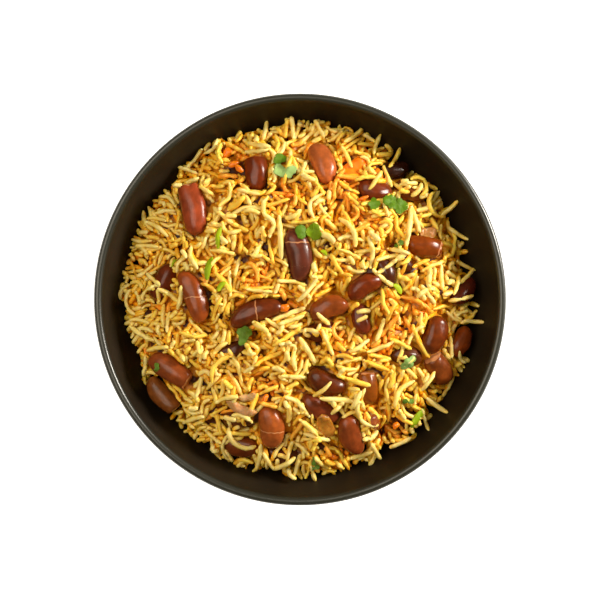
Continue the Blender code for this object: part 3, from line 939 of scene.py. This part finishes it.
class Deposit:
    """Lays grains one on another."""

    def __init__(self, ground, ceiling, relief, reach, seed):
        self.ground = ground
        self.ceiling = ceiling
        self.relief = relief
        self.reach = reach
        self.random = np.random.default_rng(seed)
        self.grains = []
        width = int(WIDTHS[1] / 2 / CELL) + 1
        steps = np.arange(-width, width + 1)
        self.disc = [(i, j, math.hypot(i, j) * CELL) for i in steps for j in steps]

    def settle(self, x, y, heading, length, bends, half):
        """Middle lines of grains that come to rest at these places, each on the ground as it is."""
        px, py, along, angle = grain_courses(x, y, heading, length, bends)
        under = self.ground.at(px, py)
        for side in (-0.6, 0.6):
            offset = side * half[:, None]
            beside = self.ground.at(px - np.sin(angle) * offset, py + np.cos(angle) * offset)
            under = np.maximum(under, beside)
        # A stick comes to rest where its middle is lowest with no part of it under the ground.
        levels = (under[:, :, None] - along[:, :, None] * SLOPES).max(axis=1)
        pick = levels.argmin(axis=1)
        rows = np.arange(len(pick))
        line = levels[rows, pick][:, None] + SLOPES[pick][:, None] * along
        touch = line - under < TOUCH
        left = np.where(touch, along, np.inf).min(axis=1, keepdims=True)
        right = np.where(touch, along, -np.inf).max(axis=1, keepdims=True)
        free = np.maximum(np.maximum(left - along, along - right), 0)
        hang = np.minimum(DROOP * free**2 + LIMPNESS * (line - under), MOST_HANG)
        top = np.maximum(line - hang, under) + half[:, None] * 0.9 - SINK
        out = (np.hypot(px, py) > self.edge(np.arctan2(py, px))).any(axis=1)
        return np.stack([px, py, top], axis=2), out

    def edge(self, azimuth):
        """Radius at which the heap ends."""
        turned = np.degrees(azimuth) % 360
        back = sum(far * np.exp(-(((turned - middle) / across) ** 2)) for middle, far, across in NOTCHES)
        return self.reach - back * MM

    def sauce(self, x, y):
        """How much of the tomato's colour the rice has here, from 0 to 1."""
        return max(math.exp(-((x / MM - a) ** 2 + (y / MM - b) ** 2) / reach**2) for a, b, reach in SAUCE)

    def keep(self, line, half, kind):
        """Adds the grain and raises the ground under it."""
        self.grains.append((line, half, min(max(kind, 0.0), 0.999)))
        fine = np.linspace(0, 1, 26)
        x, y, z = (np.interp(fine, STATIONS, line[:, axis]) for axis in range(3))
        i, j = self.ground.cells(x, y)
        most = self.ground.count - 1
        for di, dj, distance in self.disc:
            if distance < half:
                rise = math.sqrt(half * half - distance * distance)
                cells = np.clip(i + di, 0, most), np.clip(j + dj, 0, most)
                np.maximum.at(self.ground.heights, cells, z + rise)

    def place(self, rows):
        """Lays grains at given places."""
        for x, y, heading, length, width, curl, sway, tint in rows:
            at, size = np.array([[x, y], [length, width / 2]])[:, :, None] * MM
            bends = np.array([[curl, sway, 0.0, 0.5]])
            lines, _ = self.settle(at[0], at[1], np.radians([heading]), size[0], bends, size[1])
            self.keep(lines[0] - (0, 0, 0.5 * MM), float(size[1][0]), tint)

    def scatter(self, settings, count, allow, tries):
        """Lays up to count grains, each the lowest of some tries, none higher than allow over the heap."""
        laid = 0
        missed = 0
        random = self.random
        while laid < count and missed < MOST_MISSES:
            radius = np.sqrt(random.random(tries)) * self.reach
            turn = random.random(tries) * 2 * math.pi
            x, y = radius * np.cos(turn), radius * np.sin(turn)
            length = np.clip(random.normal(settings.length, LENGTH_SPREAD, tries), *LENGTHS)
            length = np.where(random.random(tries) < settings.broken, length * 0.5, length)
            half = np.clip(random.normal(settings.width, WIDTH_SPREAD, tries), *WIDTHS) / 2
            bends = random.normal(0, BEND_SPREADS, (tries, 4))
            for bend, share, least, most in STRONG_BENDS:
                chosen = random.random(tries) < share
                bends[:, bend] += np.where(chosen, random.uniform(least, most, tries), 0)
            bends[:, 3] = random.uniform(0.25, 0.75, tries)
            heading = random.random(tries) * 2 * math.pi
            outwards = turn + random.normal(0, 0.6, tries)
            heading = np.where(radius > self.reach - OUTWARD_EDGE, outwards, heading)
            lines, out = self.settle(x, y, heading, length, bends, half)
            inner = lines[:, 2:-2]
            over = inner[:, :, 2] + half[:, None] - self.ceiling.at(inner[:, :, 0], inner[:, :, 1])
            over = np.where(out, np.inf, over.max(axis=1))
            best = int(over.argmin())
            # Painted shade in a grain's kind: deeper on low clumps and deep in the heap, paler on high
            # clumps.
            patch = float(self.relief.at(x[best], y[best]))
            depth = min(max(-float(over[best]) / (4 * MM), 0), 1)
            kind = 0.8 * random.random() - 0.45 * patch + 0.3 * depth + 0.6 * self.sauce(x[best], y[best])
            if over[best] > allow:
                missed += 1
                continue
            self.keep(lines[best], float(half[best]), kind)
            laid += 1
            missed = 0


def grain_tree():
    """Geometry nodes that give each middle line the body of a grain."""
    tree = bpy.data.node_groups.new("Rice grains", "GeometryNodeTree")
    face = tree.interface
    face.new_socket("Geometry", in_out="OUTPUT", socket_type="NodeSocketGeometry")
    inputs = {
        "Geometry": "Geometry",
        "Sides": "Int",
        "Flatness": "Float",
        "Taper": "Float",
        "Tip": "Float",
        "Seed": "Int",
        "Rice": "Material",
    }
    for name, kind in inputs.items():
        face.new_socket(name, in_out="INPUT", socket_type="NodeSocket" + kind)
    given = add(tree, "NodeGroupInput").outputs
    curve = add(tree, "GeometryNodeMeshToCurve", {"Mesh": given["Geometry"]})
    # Girth along the grain: full in the middle and rounded off towards a blunt tip.
    place = add(tree, "GeometryNodeSplineParameter").outputs["Factor"]
    end = add(tree, "ShaderNodeMath", {0: place, 1: 2.0, 2: -1.0}, operation="MULTIPLY_ADD")
    end = add(tree, "ShaderNodeMath", {0: end}, operation="ABSOLUTE")
    end = add(tree, "ShaderNodeMath", {0: end, 1: given["Taper"]}, operation="POWER")
    body = add(tree, "ShaderNodeMath", {0: 1.0, 1: end}, operation="SUBTRACT")
    body = add(tree, "ShaderNodeMath", {0: body, 1: 0.5}, operation="POWER")
    body = add(tree, "ShaderNodeMath", {0: body, 1: given["Tip"]}, operation="MAXIMUM")
    spot = add(tree, "GeometryNodeInputPosition")
    cloud = add(
        tree,
        "ShaderNodeTexNoise",
        {"Vector": spot, "W": given["Seed"], "Scale": 1 / (3 * MM), "Detail": 1.0},
        noise_dimensions="4D",
    )
    twist = add(tree, "ShaderNodeMath", {0: cloud, 1: 6.0}, operation="MULTIPLY")
    uneven = add(
        tree,
        "ShaderNodeMapRange",
        {"Value": cloud, "From Min": 0.3, "From Max": 0.7, "To Min": 0.86, "To Max": 1.12},
    )
    half = add(tree, "GeometryNodeInputNamedAttribute", {"Name": "half_width"}, data_type="FLOAT")
    girth = add(tree, "ShaderNodeMath", {0: body, 1: half}, operation="MULTIPLY")
    girth = add(tree, "ShaderNodeMath", {0: girth, 1: uneven}, operation="MULTIPLY")
    curve = add(tree, "GeometryNodeSetCurveNormal", {"Curve": curve}, mode="Z_UP")
    curve = add(tree, "GeometryNodeSetCurveTilt", {"Curve": curve, "Tilt": twist})
    ring = add(tree, "GeometryNodeCurvePrimitiveCircle", {"Resolution": given["Sides"], "Radius": 1.0})
    squash = add(tree, "ShaderNodeCombineXYZ", {"X": 1.0, "Y": given["Flatness"], "Z": 1.0})
    ring = add(tree, "GeometryNodeTransform", {"Geometry": ring, "Scale": squash})
    mesh = add(
        tree,
        "GeometryNodeCurveToMesh",
        {"Curve": curve, "Profile Curve": ring, "Scale": girth, "Fill Caps": True},
    )
    mesh = add(tree, "GeometryNodeSetShadeSmooth", {"Geometry": mesh})
    mesh = add(tree, "GeometryNodeRealizeInstances", {"Geometry": mesh})
    mesh = add(tree, "GeometryNodeSetMaterial", {"Geometry": mesh, "Material": given["Rice"]})
    add(tree, "NodeGroupOutput", {"Geometry": mesh})
    return tree


def lines_mesh(name, grains, surface):
    """Middle lines as edges, with half width, tint, and depth under the heap's surface for painted shade, on
    their points.
    """
    mesh = bpy.data.meshes.new(name)
    points, edges, halves, tints, depths = [], [], [], [], []
    for line, half, tint in grains:
        depths.extend((surface.at(line[:, 0], line[:, 1]) - line[:, 2] - half) / MM)
        start = len(points)
        points.extend(map(tuple, line))
        edges.extend((start + i, start + i + 1) for i in range(len(line) - 1))
        halves.extend([half] * len(line))
        tints.extend([tint] * len(line))
    mesh.from_pydata(points, edges, [])
    for attribute, values in (("half_width", halves), ("tint", tints), ("depth", depths)):
        mesh.attributes.new(attribute, "FLOAT", "POINT").data.foreach_set("value", values)
    return mesh


def cooked_rice(name, light, deep):
    """Cooked long-grain rice: moist starch that light soaks into, with a wet shine, uneven yellow dye and
    painted shade.
    """
    material, tree, shader, place = new_material(name)
    tint = add(tree, "ShaderNodeAttribute", attribute_name="tint").outputs["Fac"]
    dye = add(tree, "ShaderNodeTexNoise", {"Vector": place, "Scale": 1 / (3 * MM), "Detail": 3.0})
    # Painted shade: the grains' flanks, turned from the light above, are mixed towards the deep colour, and
    # their tops stay pale.
    facing = add(tree, "ShaderNodeNewGeometry").outputs["Normal"]
    facing = add(tree, "ShaderNodeSeparateXYZ", {0: facing}).outputs["Z"]
    painted_flank_shade = add(
        tree,
        "ShaderNodeMapRange",
        {"Value": facing, "From Min": 0.0, "From Max": 0.85, "To Min": 0.9, "To Max": 0.0},
    )
    amount = add(tree, "ShaderNodeMath", {0: tint, 1: 0.6, 2: painted_flank_shade}, operation="MULTIPLY_ADD")
    amount = add(tree, "ShaderNodeMath", {0: dye, 1: 1.8, 2: amount}, operation="MULTIPLY_ADD")
    # Painted shade: the deeper a grain lies under the heap's surface, the further it is mixed towards the
    # deep colour.
    depth = add(tree, "ShaderNodeAttribute", attribute_name="depth").outputs["Fac"]
    amount = add(tree, "ShaderNodeMath", {0: depth, 1: 0.35, 2: amount}, operation="MULTIPLY_ADD")
    amount = add(tree, "ShaderNodeMapRange", {"Value": amount, "From Min": 0.9, "From Max": 2.2})
    tone = add(tree, "ShaderNodeMix", {"Factor": amount, "A": light, "B": deep}, data_type="RGBA")
    grain = add(tree, "ShaderNodeTexNoise", {"Vector": place, "Scale": 1 / (0.7 * MM), "Detail": 2.0})
    bump = add(tree, "ShaderNodeBump", {"Height": grain, "Strength": 0.4, "Distance": 0.1 * MM})
    looks = {
        "Base Color": tone,
        "Normal": bump,
        "Roughness": 0.34,
        "Subsurface Weight": 0.85,
        "Subsurface Radius": (1.0, 0.9, 0.7),
        "Subsurface Scale": 0.6 * MM,
        "IOR": 1.36,
        "Specular IOR Level": 0.36,
    }
    feed(tree, shader, looks)
    return material


def sweep_grains(name, grains, surface, tree, settings, material):
    """A plain mesh of all grains of one kind."""
    blank = bpy.data.objects.new(name + "_lines", lines_mesh(name + "_lines", grains, surface))
    bpy.context.scene.collection.objects.link(blank)
    sweep = blank.modifiers.new("Grains", "NODES")
    sweep.node_group = tree
    values = {
        "Sides": settings.sides,
        "Flatness": 0.86,
        "Taper": 6.5,
        "Tip": 0.38,
        "Seed": settings.seed,
        "Rice": material,
    }
    for item in tree.interface.items_tree:
        if item.in_out == "INPUT" and item.name in values:
            sweep[item.identifier] = values[item.name]
    bpy.context.view_layer.update()
    graph = bpy.context.evaluated_depsgraph_get()
    mesh = bpy.data.meshes.new_from_object(blank.evaluated_get(graph))
    bpy.data.objects.remove(blank)
    mesh.name = name
    return mesh


class RICEBOWL_OT_rice(bpy.types.Operator):
    """Fills the bowl with a core of pressed rice and lays loose grains over it"""

    bl_idname = "ricebowl.rice"
    bl_label = "Rice"

    def execute(self, context):
        settings = context.scene.rice_bowl_rice
        ceiling = Ground(GRID_REACH).drape([frame["nodes"]["rice_heap"]]).close(6 * MM)
        ceiling.heights = np.maximum(ceiling.heights, HEAP_EDGE)
        for x, y, across, depth in HOLLOWS:
            away = ((ceiling.x / MM - x) ** 2 + (ceiling.y / MM - y) ** 2) / across**2
            ceiling.heights -= depth * MM * np.exp(-away)
        core = new_piece("rice_core", core_mesh(ceiling, settings), rice_core(settings), "rice", "rice_heap")
        clear = Ground(GRID_REACH).drape(beans_covered(0)).heights > 0
        covered = Ground(GRID_REACH).drape(beans_covered(2)).heights
        ceiling.heights = np.maximum(ceiling.heights, covered) - np.where(clear, KEPT_CLEAR, 0)
        relief = Ground(GRID_REACH).fill(lambda x, y: self.clump(Vector((x, y, 0)) / settings.clump))
        ceiling.heights += settings.lumps * relief.heights
        names = ("_skin", "_flesh", "_bowl", "_flakes")
        solid = [thing for thing in bpy.data.objects if thing.name.endswith(names)]
        ground = Ground(GRID_REACH).drape(solid + [core])
        deposit = Deposit(ground, ceiling, relief, HEAP_HIGH.x + 0.5 * MM, settings.seed)
        deposit.scatter(settings, settings.count, 0.6 * MM, 24)
        for count, allow, tries in LOOSE_ROUNDS:
            deposit.scatter(settings, count, allow, tries)
        deposit.place(PLACED_GRAINS)
        surface = Ground(GRID_REACH)
        surface.heights = ground.heights.copy()
        surface.close(1.2 * MM).smooth(0.8 * MM)
        raise_core(core.data, surface, settings)
        self.sweep(deposit.grains, surface, settings)
        return {"FINISHED"}

    def clump(self, spot):
        """How far the rice stands proud or sunk at a place on the clumps' own scale."""
        return noise.noise(spot) + 0.5 * noise.noise(spot * 2.3)

    def sweep(self, grains, surface, settings):
        """Makes one piece for each kind of grain."""
        tree = grain_tree()
        # Each kind mixes from a light colour to a deep one, which the dye and the painted shade bring out.
        kinds = (
            ("rice_pale", 0.0, 0.46, settings.pale, settings.golden),
            ("rice_golden", 0.46, 0.88, linear("#FFD860"), linear("#F6AA16")),
            ("rice_saucy", 0.88, 1.01, linear("#FFC050"), settings.saucy),
        )
        for name, low, high, light, deep in kinds:
            span = high - low
            ours = [(line, half, (kind - low) / span) for line, half, kind in grains if low <= kind < high]
            material = cooked_rice("cooked_" + name, light, deep)
            new_piece(name, sweep_grains(name, ours, surface, tree, settings, material), material, "rice")


# ------------------------------ Herbs ------------------------------

# Leaves: place of the stalk's end, how pale or, under 0, how lime green, lift, then round lobes as heading
# in degrees, distance and radius.
HERB_LEAVES = (
    (-7.4, 51.8, 0.0, 0.8, ((100, 2.2, 1.8), (60, 1.8, 1.7), (150, 1.4, 1.8))),
    (
        -5.6, 49.2, 1.0, 0.3,
        ((-160, 2.9, 2.2), (-115, 2.2, 2.0), (-60, 2.6, 2.1), (-10, 3.2, 1.9), (160, 3.0, 1.6)),
    ),
    (0.9, 25.2, 0.0, 0.7, ((140, 0.9, 2.4), (250, 1.3, 1.9))),
    (4.6, 25.2, -0.35, 0.9, ((60, 1.6, 2.3), (-40, 1.8, 2.4), (180, 0.6, 2.2))),
    (
        27.6, 35.8, 0.0, 0.5,
        ((10, 1.6, 1.3), (90, 1.6, 1.3), (180, 1.3, 1.2), (260, 1.8, 1.3), (320, 1.5, 1.0)),
    ),
    (34.0, 36.8, 0.0, 1.0, ((160, 1.2, 2.3), (60, 1.4, 1.9), (-60, 1.6, 2.0))),
    (37.6, 35.6, 0.0, 0.8, ((-10, 1.4, 2.4), (90, 1.3, 1.8), (-90, 1.8, 2.0), (180, 1.6, 1.9))),
    (
        -20.8, -12.4, 0.15, 0.9,
        ((-105, 4.2, 1.5), (-100, 2.0, 2.1), (0, 1.6, 1.8), (170, 1.6, 1.7), (70, 1.2, 1.7)),
    ),
    (40.8, -23.8, 0.6, 0.7, ((45, 2.4, 1.5), (215, 2.4, 1.6), (130, 0.8, 1.6), (-45, 0.8, 1.6))),
    (-54.4, -26.0, 0.1, 0.4, ((75, 1.4, 1.1), (-100, 1.2, 1.1), (0, 0.6, 1.0))),
    (41.0, -38.8, 0.1, 0.4, ((165, 1.5, 1.2), (10, 1.4, 1.1))),
    (5.4, -64.4, 0.2, 0.2, ((20, 1.4, 1.2), (200, 1.0, 1.0))),
    (37.0, 20.4, 0.05, 0.0, ((50, 1.2, 1.2), (200, 1.0, 1.0))),
    (5.4, -61.6, 0.1, 0.1, ((80, 1.2, 1.1), (-100, 1.0, 1.0))),
)
# Slivers of green: the two ends, half width, how pale or, under 0, how lime green.
HERB_SLIVERS = (
    (-30.6, 18.8, -29.6, 27.2, 0.9, -0.9),
    (-34.8, 7.2, -32.8, 16.0, 1.1, -0.6),
    (-30.6, 3.0, -27.6, 6.6, 0.9, -0.9),
    (35.0, 5.8, 38.0, 2.0, 1.0, -0.9),
    (7.6, 18.2, 10.0, 16.4, 0.7, -0.9),
    (42.4, -49.0, 47.8, -41.8, 1.3, -0.6),
    (-48.2, 12.2, -46.6, 15.0, 0.5, -0.9),
)
LEAF_RINGS = 9
LEAF_POINTS = 96
LOBE_SIZE = 0.88
SLIVER_STEPS = 20
SLIVER_COLUMNS = 6


def herb_leaf(settings):
    """Chopped coriander leaf: thin and waxy, with a little light coming through it."""
    material, tree, shader, place = new_material("chopped_coriander")
    pale = add(tree, "ShaderNodeAttribute", attribute_name="pale").outputs["Fac"]
    cloud = add(tree, "ShaderNodeTexNoise", {"Vector": place, "Scale": 1 / (1.6 * MM), "Detail": 3.0})
    mottle = add(
        tree,
        "ShaderNodeMapRange",
        {"Value": cloud, "From Min": 0.3, "From Max": 0.7, "To Min": -0.12, "To Max": 0.12},
    )
    amount = add(tree, "ShaderNodeMath", {0: pale, 1: mottle}, operation="ADD", use_clamp=True)
    tone = add(
        tree,
        "ShaderNodeMix",
        {"Factor": amount, "A": settings.leaf, "B": settings.leaf_pale},
        data_type="RGBA",
    )
    young = add(tree, "ShaderNodeMath", {0: pale, 1: -1.0}, operation="MULTIPLY", use_clamp=True)
    tone = add(
        tree, "ShaderNodeMix", {"Factor": young, "A": tone, "B": settings.leaf_young}, data_type="RGBA"
    )
    bump = add(tree, "ShaderNodeBump", {"Height": cloud, "Strength": 0.5, "Distance": 0.15 * MM})
    looks = {
        "Base Color": tone,
        "Normal": bump,
        "Roughness": 0.55,
        "Specular IOR Level": 0.2,
        "Subsurface Weight": 0.25,
        "Subsurface Radius": (0.9, 1.0, 0.7),
        "Subsurface Scale": 0.4 * MM,
    }
    feed(tree, shader, looks)
    return material


def leaf_rings(cloth, x, y, lift, lobes):
    """Rings of points from near a leaf's stalk out to its lobed and slightly ragged rim."""
    rim = []
    for step in range(LEAF_POINTS):
        angle = 2 * math.pi * step / LEAF_POINTS
        reach = 0.5
        for heading, distance, radius in lobes:
            distance, radius = LOBE_SIZE * distance, LOBE_SIZE * radius
            off = angle - math.radians(heading)
            inside = radius**2 - (distance * math.sin(off)) ** 2
            if inside > 0:
                reach = max(reach, distance * math.cos(off) + math.sqrt(inside))
        ragged = 1 + 0.03 * math.sin(angle * 11 + x) + 0.02 * math.sin(angle * 23 + y)
        rim.append((angle, reach * ragged))
    rings = []
    for step in range(1, LEAF_RINGS + 1):
        t = step / LEAF_RINGS
        ring = []
        for angle, reach in rim:
            px = (x + t * reach * math.cos(angle)) * MM
            py = (y + t * reach * math.sin(angle)) * MM
            wave = 0.3 * t * math.sin(angle * 2 + x * 3)
            ring.append((px, py, cloth.at(px, py) + (0.35 + lift * (1 - 0.6 * t) + wave) * MM))
        rings.append(ring)
    return rings


def sliver_rows(cloth, ax, ay, bx, by, half):
    """Rows of points across a bowed sliver from one end to the other."""
    heading = math.atan2(by - ay, bx - ax)
    rows = []
    for i in range(SLIVER_STEPS + 1):
        u = i / SLIVER_STEPS
        width = half * (1 - abs(2 * u - 1) ** 3) ** 0.6 + 0.06
        row = []
        for j in range(SLIVER_COLUMNS + 1):
            v = 2 * j / SLIVER_COLUMNS - 1
            side = v * width + 0.5 * math.sin(math.pi * u)
            px = (ax + (bx - ax) * u - side * math.sin(heading)) * MM
            py = (ay + (by - ay) * u + side * math.cos(heading)) * MM
            row.append((px, py, cloth.at(px, py) + (0.6 - 0.4 * v**2) * MM))
        rows.append(row)
    return rows


class RICEBOWL_OT_herbs(bpy.types.Operator):
    """Lays chopped herb leaves and slivers of stalk on the finished heap"""

    bl_idname = "ricebowl.herbs"
    bl_label = "Herbs"

    def execute(self, context):
        cloth = draped_cloth()
        shape = bmesh.new()
        pale_layer = shape.verts.layers.float.new("pale")
        for x, y, pale, lift, lobes in HERB_LEAVES:
            rings = leaf_rings(cloth, x, y, lift, lobes)
            for vertex in shell(shape, rings, 0.3 * MM, tuple(np.mean(rings[0], axis=0))):
                away = math.hypot(vertex.co.x / MM - x, vertex.co.y / MM - y)
                vertex[pale_layer] = pale + 0.15 * math.exp(-(away**2) / 0.8)
        for *ends, half, pale in HERB_SLIVERS:
            for vertex in shell(shape, sliver_rows(cloth, *ends, half), 0.45 * MM):
                vertex[pale_layer] = pale
        material = herb_leaf(context.scene.rice_bowl_garnish)
        new_piece("coriander_leaves", mesh_from(shape, "coriander_leaves"), material, "herb")
        return {"FINISHED"}


# ------------------------------ Stage ------------------------------

# Lights: name, place, size, power as a share of the key's, colour.
LIGHTS = (
    ("key", (0.8, 0.32, 0.41), 0.28, 1.0, "#FFF8EC"),
    ("soft", (-0.42, 0.14, 0.94), 0.9, 0.48, "#FFF4E0"),
)


def add_area_light(name, place, target, size, power, colour):
    """A soft light at place that faces target."""
    data = bpy.data.lights.new(name, "AREA")
    data.shape = "DISK"
    data.size = size
    data.energy = power
    data.color = colour
    light = bpy.data.objects.new(name, data)
    light.location = place
    light.rotation_euler = (Vector(target) - Vector(place)).to_track_quat("-Z", "Y").to_euler()
    bpy.context.scene.collection.objects.link(light)


def pale_floor(colour):
    """A matt sheet that glows a little, so that it is as pale in shadow as in light."""
    material, tree, shader, _ = new_material("pale_floor")
    looks = {
        "Base Color": colour,
        "Roughness": 0.9,
        "Emission Color": (1, 1, 1),
        "Emission Strength": 0.85,
    }
    feed(tree, shader, looks)
    return material


class RICEBOWL_OT_stage(bpy.types.Operator):
    """Sets the floor, the lights and the camera"""

    bl_idname = "ricebowl.stage"
    bl_label = "Stage"

    def execute(self, context):
        settings = context.scene.rice_bowl_stage
        scene = context.scene
        shape = bmesh.new()
        bmesh.ops.create_grid(shape, x_segments=1, y_segments=1, size=3.0)
        mesh = bpy.data.meshes.new("floor")
        shape.to_mesh(mesh)
        shape.free()
        mesh.materials.append(pale_floor(settings.floor))
        floor = bpy.data.objects.new("floor", mesh)
        floor.location.z = -0.2 * MM
        scene.collection.objects.link(floor)
        middle = (0, 0, BOWL_HIGH.z - 5 * MM)
        for name, place, size, share, colour in LIGHTS:
            add_area_light(name, place, middle, size, settings.key_power * share, linear(colour))
        world = bpy.data.worlds.new("studio")
        scene.world = world
        world.use_nodes = True
        tree = world.node_tree
        feed(tree, tree.nodes["Background"], {"Color": linear("#FFE6A4"), "Strength": settings.fill})
        lens = bpy.data.cameras.new("camera")
        lens.lens = settings.lens
        lens.sensor_width = 36.0
        camera = bpy.data.objects.new("camera", lens)
        camera.location = (0, -0.2 * MM, LIP_HEIGHT + settings.camera_height)
        scene.collection.objects.link(camera)
        scene.camera = camera
        scene.view_settings.view_transform = "Standard"
        return {"FINISHED"}


class RICEBOWL_PT_panel(bpy.types.Panel):
    """Lists the pieces of the bowl of rice and beans"""

    bl_label = "Bowl of rice and beans"
    bl_idname = "RICEBOWL_PT_panel"
    bl_space_type = "VIEW_3D"
    bl_region_type = "UI"
    bl_category = "Rice bowl"

    def draw(self, context):
        for group, operator in STEPS:
            box = self.layout.box()
            box.operator(operator)
            settings = getattr(context.scene, group)
            for name in settings.__annotations__:
                box.prop(settings, name)


SETTINGS = {
    "rice_bowl_bowl": BowlSettings,
    "rice_bowl_beans": BeanSettings,
    "rice_bowl_garnish": GarnishSettings,
    "rice_bowl_rice": RiceSettings,
    "rice_bowl_stage": StageSettings,
}
STEPS = (
    ("rice_bowl_bowl", "ricebowl.bowl"),
    ("rice_bowl_beans", "ricebowl.beans"),
    ("rice_bowl_garnish", "ricebowl.tomato"),
    ("rice_bowl_rice", "ricebowl.rice"),
    ("rice_bowl_garnish", "ricebowl.onion"),
    ("rice_bowl_garnish", "ricebowl.herbs"),
    ("rice_bowl_stage", "ricebowl.stage"),
)
CLASSES = (
    *SETTINGS.values(),
    RICEBOWL_OT_bowl,
    RICEBOWL_OT_beans,
    RICEBOWL_OT_tomato,
    RICEBOWL_OT_onion,
    RICEBOWL_OT_rice,
    RICEBOWL_OT_herbs,
    RICEBOWL_OT_stage,
    RICEBOWL_PT_panel,
)


def register():
    for item in CLASSES:
        bpy.utils.register_class(item)
    for name, group in SETTINGS.items():
        setattr(bpy.types.Scene, name, PointerProperty(type=group))


def unregister():
    for name in SETTINGS:
        delattr(bpy.types.Scene, name)
    for item in reversed(CLASSES):
        bpy.utils.unregister_class(item)


def main():
    register()
    bpy.ops.ricebowl.bowl()
    bpy.ops.ricebowl.beans()
    bpy.ops.ricebowl.tomato()
    bpy.ops.ricebowl.rice()
    bpy.ops.ricebowl.onion()
    bpy.ops.ricebowl.herbs()
    bpy.ops.ricebowl.stage()


if __name__ == "__main__":
    main()
